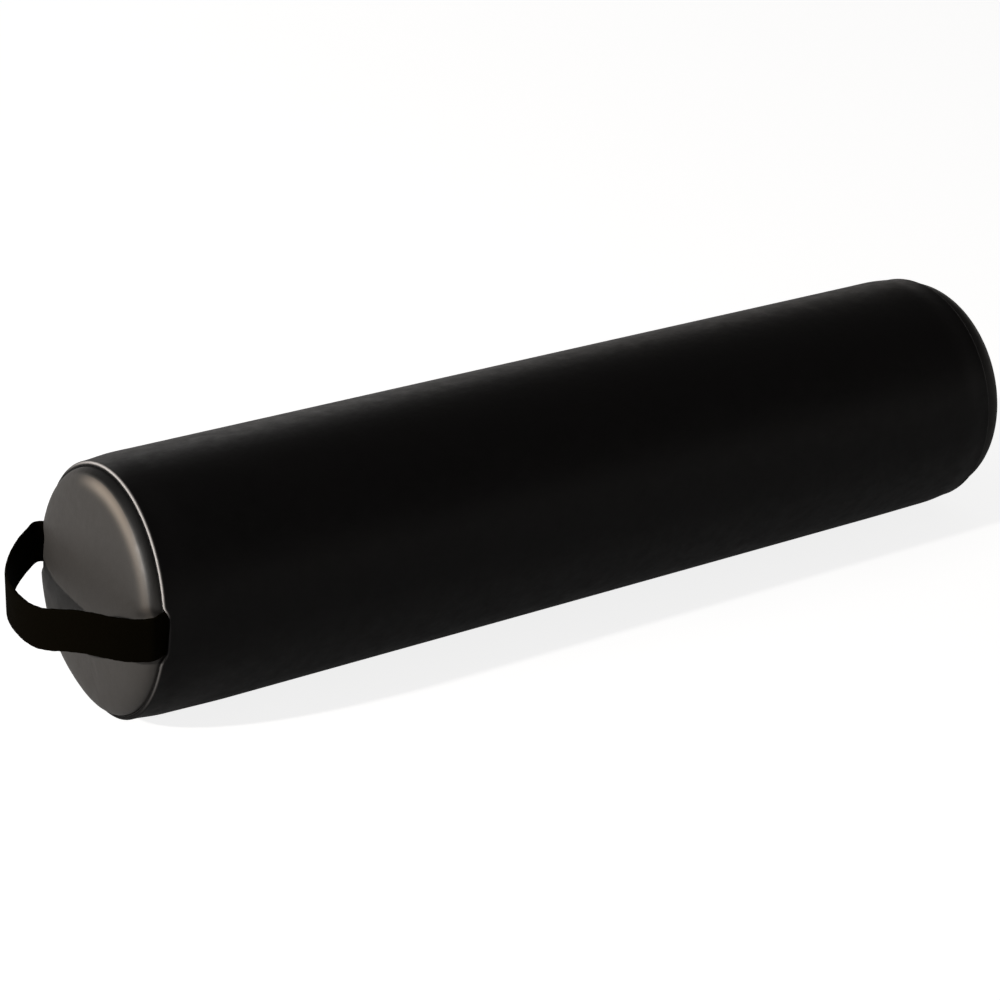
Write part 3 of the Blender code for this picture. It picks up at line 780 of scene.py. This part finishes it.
def stretched(nodes, links, place, scale):
    """The same place, with each direction scaled."""
    node = nodes.new("ShaderNodeMapping")
    node.inputs["Scale"].default_value = scale
    links.new(place, node.inputs["Vector"])
    return node.outputs["Vector"]


def ramp_between(nodes, links, value, low, high, first, last):
    """Turns a value between low and high into one between first and last."""
    node = nodes.new("ShaderNodeMapRange")
    node.inputs["From Min"].default_value = low
    node.inputs["From Max"].default_value = high
    node.inputs["To Min"].default_value = first
    node.inputs["To Max"].default_value = last
    links.new(value, node.inputs["Value"])
    return node.outputs["Result"]


def mix_colours(nodes, links, factor, first, second):
    """Mixes two colours, each a tuple or another node's output."""
    node = nodes.new("ShaderNodeMix")
    node.data_type = "RGBA"
    for name, colour in (("A", first), ("B", second)):
        if isinstance(colour, tuple):
            node.inputs[name].default_value = (*colour, 1)
        else:
            links.new(colour, node.inputs[name])
    links.new(factor, node.inputs["Factor"])
    return node.outputs["Result"]


def add_bump(nodes, links, height, strength, distance, before=None):
    node = nodes.new("ShaderNodeBump")
    node.inputs["Strength"].default_value = strength
    node.inputs["Distance"].default_value = distance
    links.new(height, node.inputs["Height"])
    if before is not None:
        links.new(before, node.inputs["Normal"])
    return node.outputs["Normal"]


def maths(nodes, links, operation, *values):
    """One sum on two or three values, each a number or another node's output."""
    node = nodes.new("ShaderNodeMath")
    node.operation = operation
    for socket, value in zip(node.inputs, values):
        if isinstance(value, float):
            socket.default_value = value
        else:
            links.new(value, socket)
    return node.outputs[0]


def vinyl_material(name, dark, light, roughness, specular, grain, painted_light_to, painted_shade_to, dull_below):
    """Coated vinyl: a fine pebble grain, soft dimples from the foam, highlights and shade painted into its
    colour where the attribute asks, and less sheen low down.
    """
    made, nodes, links, shader = new_material(name, dark, roughness, specular=specular)
    place = nodes.new("ShaderNodeTexCoord").outputs["Object"]
    tone = texture(nodes, links, "ShaderNodeTexNoise", place, Scale=22.0, Detail=5.0, Roughness=0.6)
    colour = mix_colours(nodes, links, tone.outputs["Fac"], dark, light)
    rubbed = texture(nodes, links, "ShaderNodeTexNoise", place, Scale=95.0, Detail=6.0, Roughness=0.7)
    spread = ramp_between(nodes, links, rubbed.outputs["Fac"], 0.3, 0.7, roughness - 0.06, roughness + 0.08)
    painted_light_and_gloss = nodes.new("ShaderNodeAttribute")
    painted_light_and_gloss.attribute_name = "painted_light_and_gloss"
    # Painted light: the attribute mixes in a painted highlight colour above 0 and a painted shade colour
    # below 0
    colour = mix_colours(nodes, links, painted_light_and_gloss.outputs["Fac"], colour, painted_light_to)
    painted_shade = maths(nodes, links, "MULTIPLY", painted_light_and_gloss.outputs["Fac"], -1.0)
    colour = mix_colours(nodes, links, painted_shade, colour, painted_shade_to)
    spread = maths(nodes, links, "MULTIPLY_ADD", painted_light_and_gloss.outputs["Fac"], -0.10, spread)
    height = nodes.new("ShaderNodeSeparateXYZ")
    links.new(place, height.inputs["Vector"])
    duller = ramp_between(nodes, links, height.outputs["Z"], 0.02, 0.12, dull_below, 0.0)
    spread = maths(nodes, links, "ADD", spread, duller)
    links.new(colour, shader.inputs["Base Color"])
    links.new(spread, shader.inputs["Roughness"])
    pebbles = texture(nodes, links, "ShaderNodeTexVoronoi", place, Scale=1300.0, feature="SMOOTH_F1",
                      Smoothness=0.6)
    dimples = texture(nodes, links, "ShaderNodeTexNoise", place, Scale=130.0, Detail=3.0)
    soft = add_bump(nodes, links, dimples.outputs["Fac"], 0.25, 0.0006)
    grained = add_bump(nodes, links, pebbles.outputs["Distance"], grain, 0.00012, soft)
    links.new(grained, shader.inputs["Normal"])
    return made


def webbing_material():
    """Black polyester webbing: fine yarn fibres over the woven relief."""
    made, nodes, links, shader = new_material("black_webbing", (0.002, 0.0015, 0.0004), 0.85, specular=0.02)
    place = stretched(nodes, links, nodes.new("ShaderNodeTexCoord").outputs["UV"], (700, 6000, 1))
    fibres = texture(nodes, links, "ShaderNodeTexNoise", place, Scale=1.0, Detail=3.0)
    dark, light = (0.0014, 0.0010, 0.0002), (0.0030, 0.0021, 0.0006)
    colour = mix_colours(nodes, links, fibres.outputs["Fac"], dark, light)
    links.new(colour, shader.inputs["Base Color"])
    links.new(add_bump(nodes, links, fibres.outputs["Fac"], 0.5, 0.00008), shader.inputs["Normal"])
    return made


def fibre_material(name, dark, light, roughness, scale, strength, depth):
    """Thread, tape, foam or wadding: a mottled colour with fine fibres or cells in relief."""
    made, nodes, links, shader = new_material(name, dark, roughness, specular=0.2)
    place = stretched(nodes, links, nodes.new("ShaderNodeTexCoord").outputs["Object"], scale)
    fibres = texture(nodes, links, "ShaderNodeTexNoise", place, Scale=1.0, Detail=4.0, Roughness=0.65)
    links.new(mix_colours(nodes, links, fibres.outputs["Fac"], dark, light), shader.inputs["Base Color"])
    links.new(add_bump(nodes, links, fibres.outputs["Fac"], strength, depth), shader.inputs["Normal"])
    return made


def tape_material():
    """Zip tape: a fine herringbone weave, with its ribs along the zip."""
    made, nodes, links, shader = new_material("zip_tape_weave", (0.012, 0.012, 0.013), 0.85, specular=0.2)
    place = nodes.new("ShaderNodeTexCoord").outputs["Object"]
    ribs = texture(nodes, links, "ShaderNodeTexWave", place, Scale=420.0, Distortion=0.4, bands_direction="Z")
    picks = texture(nodes, links, "ShaderNodeTexWave", place, Scale=560.0, Distortion=0.8,
                    bands_direction="DIAGONAL")
    links.new(mix_colours(nodes, links, picks.outputs["Fac"], (0.016, 0.016, 0.017), (0.036, 0.036, 0.037)),
              shader.inputs["Base Color"])
    ribbed = add_bump(nodes, links, ribs.outputs["Fac"], 0.6, 0.0001)
    links.new(add_bump(nodes, links, picks.outputs["Fac"], 0.4, 0.00006, ribbed), shader.inputs["Normal"])
    return made


def nylon_material():
    """The coils: smooth black nylon, a little scuffed where the slider runs."""
    made, nodes, links, shader = new_material("black_nylon", (0.014, 0.014, 0.015), 0.35)
    place = nodes.new("ShaderNodeTexCoord").outputs["Object"]
    scuffs = texture(nodes, links, "ShaderNodeTexNoise", place, Scale=900.0, Detail=4.0)
    links.new(mix_colours(nodes, links, scuffs.outputs["Fac"], (0.028, 0.028, 0.029), (0.060, 0.060, 0.062)),
              shader.inputs["Base Color"])
    spread = ramp_between(nodes, links, scuffs.outputs["Fac"], 0.3, 0.7, 0.28, 0.48)
    links.new(spread, shader.inputs["Roughness"])
    return made


def metal_material():
    """Dark plated zip metal, with fine rubbing."""
    made, nodes, links, shader = new_material("dark_plated_metal", (0.16, 0.16, 0.17), 0.28, metallic=0.95)
    place = nodes.new("ShaderNodeTexCoord").outputs["Object"]
    rubbing = texture(nodes, links, "ShaderNodeTexNoise", stretched(nodes, links, place, (300, 1500, 1500)),
                      Scale=1.0, Detail=5.0, Roughness=0.7)
    links.new(mix_colours(nodes, links, rubbing.outputs["Fac"], (0.20, 0.20, 0.21), (0.38, 0.38, 0.39)),
              shader.inputs["Base Color"])
    spread = ramp_between(nodes, links, rubbing.outputs["Fac"], 0.3, 0.7, 0.20, 0.42)
    links.new(spread, shader.inputs["Roughness"])
    links.new(add_bump(nodes, links, rubbing.outputs["Fac"], 0.15, 0.00005), shader.inputs["Normal"])
    return made


# Studio
def floor_material():
    """A pale floor that keeps the bolster's shadow. Seen or mirrored, it glows enough to look white."""
    made, nodes, links, shader = new_material("pale_floor", (0.45, 0.45, 0.45), 0.9, specular=0.1)
    rays = nodes.new("ShaderNodeLightPath").outputs
    seen = maths(nodes, links, "MAXIMUM", rays["Is Camera Ray"], rays["Is Transmission Ray"])
    seen = maths(nodes, links, "MULTIPLY_ADD", rays["Is Glossy Ray"], MIRRORED_GLOW, seen)
    glow = nodes.new("ShaderNodeEmission")
    links.new(maths(nodes, links, "MULTIPLY", seen, FLOOR_GLOW), glow.inputs["Strength"])
    both = nodes.new("ShaderNodeAddShader")
    links.new(shader.outputs["BSDF"], both.inputs[0])
    links.new(glow.outputs["Emission"], both.inputs[1])
    links.new(both.outputs["Shader"], nodes["Material Output"].inputs["Surface"])
    return made


def floor():
    reach = 20.0
    mesh = bpy.data.meshes.new("floor")
    corners = [(-reach, -reach, 0), (reach, -reach, 0), (reach, reach, 0), (-reach, reach, 0)]
    mesh.from_pydata(corners, [], [(0, 1, 2, 3)])
    piece = bpy.data.objects.new("floor", mesh)
    piece.location.z = -0.00015
    mesh.materials.append(floor_material())
    bpy.context.scene.collection.objects.link(piece)


def studio_world():
    """White near the horizon and dim overhead, as in a studio with a white sweep and a dark ceiling."""
    world = bpy.data.worlds.new("studio")
    bpy.context.scene.world = world
    world.use_nodes = True
    nodes, links = world.node_tree.nodes, world.node_tree.links
    split = nodes.new("ShaderNodeSeparateXYZ")
    links.new(nodes.new("ShaderNodeTexCoord").outputs["Generated"], split.inputs["Vector"])
    level = ramp_between(nodes, links, split.outputs["Z"], 0.05, 0.32, 0.95, 0.10)
    seen = nodes.new("ShaderNodeLightPath").outputs["Is Camera Ray"]
    links.new(maths(nodes, links, "MAXIMUM", level, seen), nodes["Background"].inputs["Strength"])
    tint = mix_colours(nodes, links, seen, (1.0, 0.95, 0.91), (1.0, 1.0, 1.0))
    links.new(tint, nodes["Background"].inputs["Color"])


def area_lamp(name, place, target, size, power, colour=(1, 1, 1)):
    data = bpy.data.lights.new(name, "AREA")
    data.shape = "SQUARE"
    data.size = size
    data.energy = power
    data.color = colour
    lamp = bpy.data.objects.new(name, data)
    lamp.location = place
    lamp.rotation_euler = (Vector(target) - Vector(place)).to_track_quat("-Z", "Y").to_euler()
    bpy.context.scene.collection.objects.link(lamp)


def camera():
    """The photograph's view: turned a little less than 35 degrees towards the handle, 24 degrees down."""
    azimuth = math.radians(-34.90)
    elevation = math.radians(24.25)
    roll = math.radians(1.76)
    ahead = Vector((
        -math.sin(azimuth) * math.cos(elevation),
        math.cos(azimuth) * math.cos(elevation),
        -math.sin(elevation),
    ))
    level = Vector((math.cos(azimuth), math.sin(azimuth), 0))
    upright = level.cross(ahead)
    right = math.cos(roll) * level + math.sin(roll) * upright
    up = -math.sin(roll) * level + math.cos(roll) * upright
    data = bpy.data.cameras.new("photo_camera")
    data.sensor_width = 36
    data.lens = 105.3
    made = bpy.data.objects.new("photo_camera", data)
    turn = Matrix((right, up, -ahead)).transposed().to_4x4()
    made.matrix_world = Matrix.Translation((CAMERA_X, -1.3986, 0.8417)) @ turn
    bpy.context.scene.collection.objects.link(made)
    bpy.context.scene.camera = made


CAMERA_X = -0.6919 - HALF
FLOOR_GLOW = 0.84
MIRRORED_GLOW = 0.20
camera()
floor()
studio_world()
area_lamp("key", (-2.81, -0.14, 1.13), (-0.33, 0, 0.08), 0.08, 60, (1.0, 0.97, 0.94))
area_lamp("overhead", (-1.2, 0.2, 2.2), (-0.3, 0, 0.08), 1.6, 5)
area_lamp("behind", (0.7, 2.6, 1.1), (0, 0, 0.08), 1.4, 4)
bpy.context.scene.view_settings.view_transform = "Standard"

# The body's black vinyl. Its light mixing colour is the painted highlight on the handle end's turned edge and
# the far panel's painted light
body_look = vinyl_material("black_vinyl", dark=(0.0028, 0.0026, 0.0027), light=(0.0042, 0.0038, 0.0039),
                           roughness=0.45, specular=0.12, grain=0.10, painted_light_to=(0.60, 0.57, 0.55),
                           painted_shade_to=(0.0028, 0.0026, 0.0027), dull_below=0.12)
# The handle end's panel: the same black vinyl as the body, painted lighter for the light that falls on that
# end, with a tan painted highlight and near-black painted shade
end_look = vinyl_material("end_vinyl", dark=(0.042, 0.039, 0.036), light=(0.055, 0.051, 0.047),
                          roughness=0.45, specular=0.32, grain=0.30, painted_light_to=(0.27, 0.23, 0.19),
                          painted_shade_to=(0.003, 0.0027, 0.0024), dull_below=0.0)
thread_look = fibre_material("black_thread", (0.009, 0.009, 0.009), (0.024, 0.023, 0.023), 0.6,
                             (2600, 2600, 2600), 0.5, 0.00005)
foam_look = fibre_material("cream_foam", (0.62, 0.56, 0.40), (0.86, 0.82, 0.68), 0.95,
                           (420, 420, 420), 0.9, 0.0006)
wadding_look = fibre_material("white_wadding", (0.70, 0.70, 0.68), (0.90, 0.90, 0.88), 1.0,
                              (160, 900, 900), 0.8, 0.0008)
tape_look = tape_material()
nylon_look = nylon_material()
metal_look = metal_material()

cover_body_piece(body_look)
end_cover("cover_end_handle_vinyl", HANDLE_CROWN, end_look, "cover_end_handle", -1)
end_cover("cover_end_far_vinyl", FAR_CROWN, body_look, "cover_end_far", 1)
foam_log(foam_look)
wadding_layer(wadding_look)
end_pad("end_pad_handle", HANDLE_CROWN, wadding_look, -1)
end_pad("end_pad_far", FAR_CROWN, wadding_look, 1)

webbing_strap(webbing_material())
strap_top = math.asin((STRAP_Z - AXIS + STRAP_WIDTH / 2 + GAP) / SKIRT_RADIUS)
strap_bottom = math.asin((STRAP_WIDTH / 2 + GAP - STRAP_Z + AXIS) / SKIRT_RADIUS)
seam_stitches("far_seam_stitches", "seam_thread_far", 1, 0, math.tau, thread_look)
seam_stitches("upper_seam_stitches", "seam_thread_handle_upper", -1, strap_top,
              math.pi - strap_top, thread_look)
seam_stitches("lower_seam_stitches", "seam_thread_handle_lower", -1, math.pi + strap_bottom,
              math.tau - strap_bottom, thread_look)
for end in ("front", "back"):
    keep_solid(f"handle_tack_{end}", thread_look)
for side in ("upper", "lower"):
    zip_coil(side, nylon_look)
    coil_sewing(side, thread_look)
    zip_stitches(side, thread_look)
    keep_solid(f"zip_tape_{side}", tape_look)
    keep_solid(f"zip_top_stop_{side}", metal_look, 0.0003)
keep_solid("zip_bottom_stop", metal_look, 0.0003)
keep_solid("zip_slider", metal_look, 0.00022)
keep_solid("zip_pull_tab", metal_look, 0.00022)
